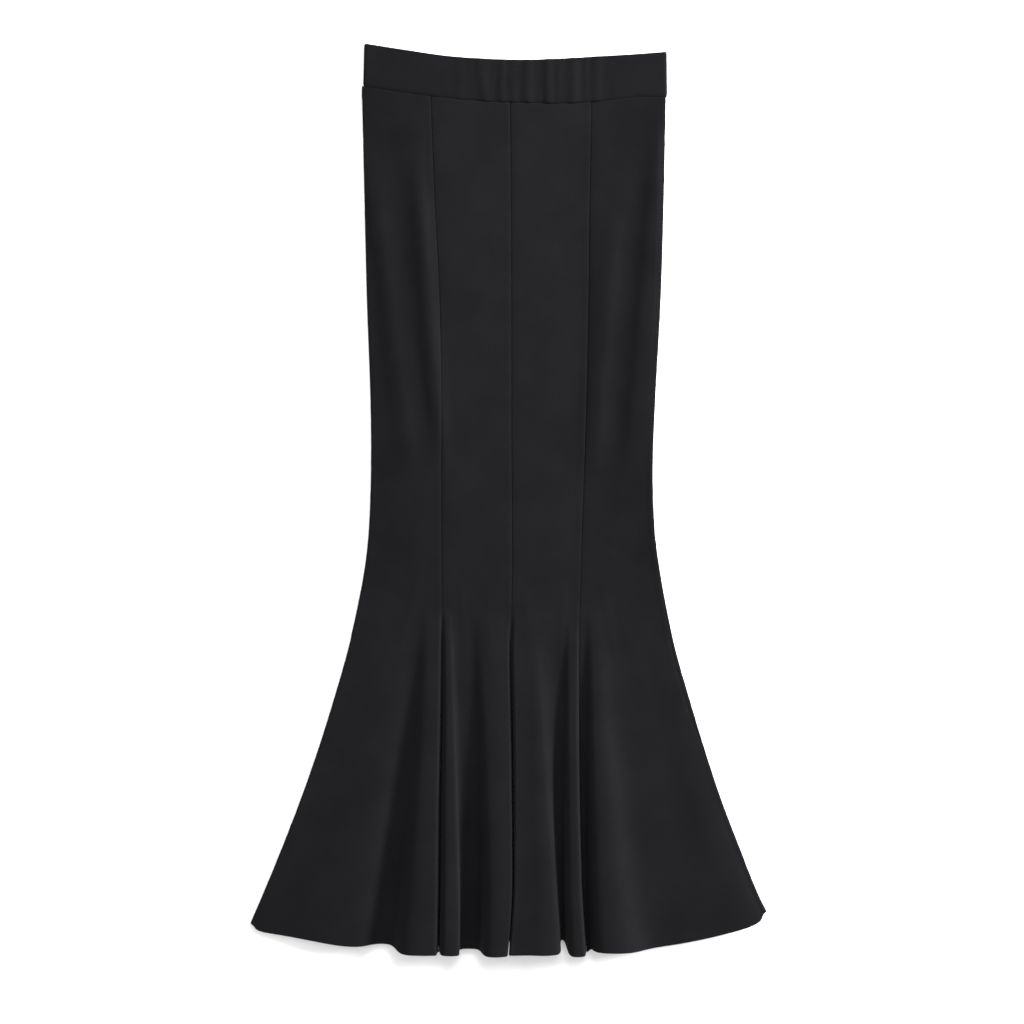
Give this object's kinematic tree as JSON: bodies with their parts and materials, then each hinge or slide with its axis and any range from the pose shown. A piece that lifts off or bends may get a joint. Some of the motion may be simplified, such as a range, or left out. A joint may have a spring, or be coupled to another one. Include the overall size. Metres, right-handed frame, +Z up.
{
  "type": "mermaid fishtail skirt laid flat",
  "caption": "Long pull-on stretch-knit skirt lying flat, wide elastic waistband, panelled and close to the knee, then flared into a deeply folded fishtail hem",
  "frame": {"origin": "middle of the footprint, on the surface that the skirt lies on", "axes": "+Z up from the surface, out of the front of the skirt; +Y towards the waist; +X to the right of someone looking down at the front with the waist at the top, which is the wearer's left"},
  "size_m": [0.542, 0.9541, 0.0284],
  "materials": {
    "band_knit": "matt black double knit over elastic, softly gathered",
    "front_knit": "matt black double-knit jersey with a faint sheen",
    "back_knit": "matt black double-knit jersey with a faint sheen"
  },
  "bodies": {
    "root": {"waistband": "band_knit", "front_side_gore_left": "front_knit", "front_centre_gore_left": "front_knit", "front_centre_gore_right": "front_knit", "front_side_gore_right": "front_knit", "back_side_gore_left": "back_knit", "back_centre_gore_left": "back_knit", "back_centre_gore_right": "back_knit", "back_side_gore_right": "back_knit"}
  },
  "joints": []
}
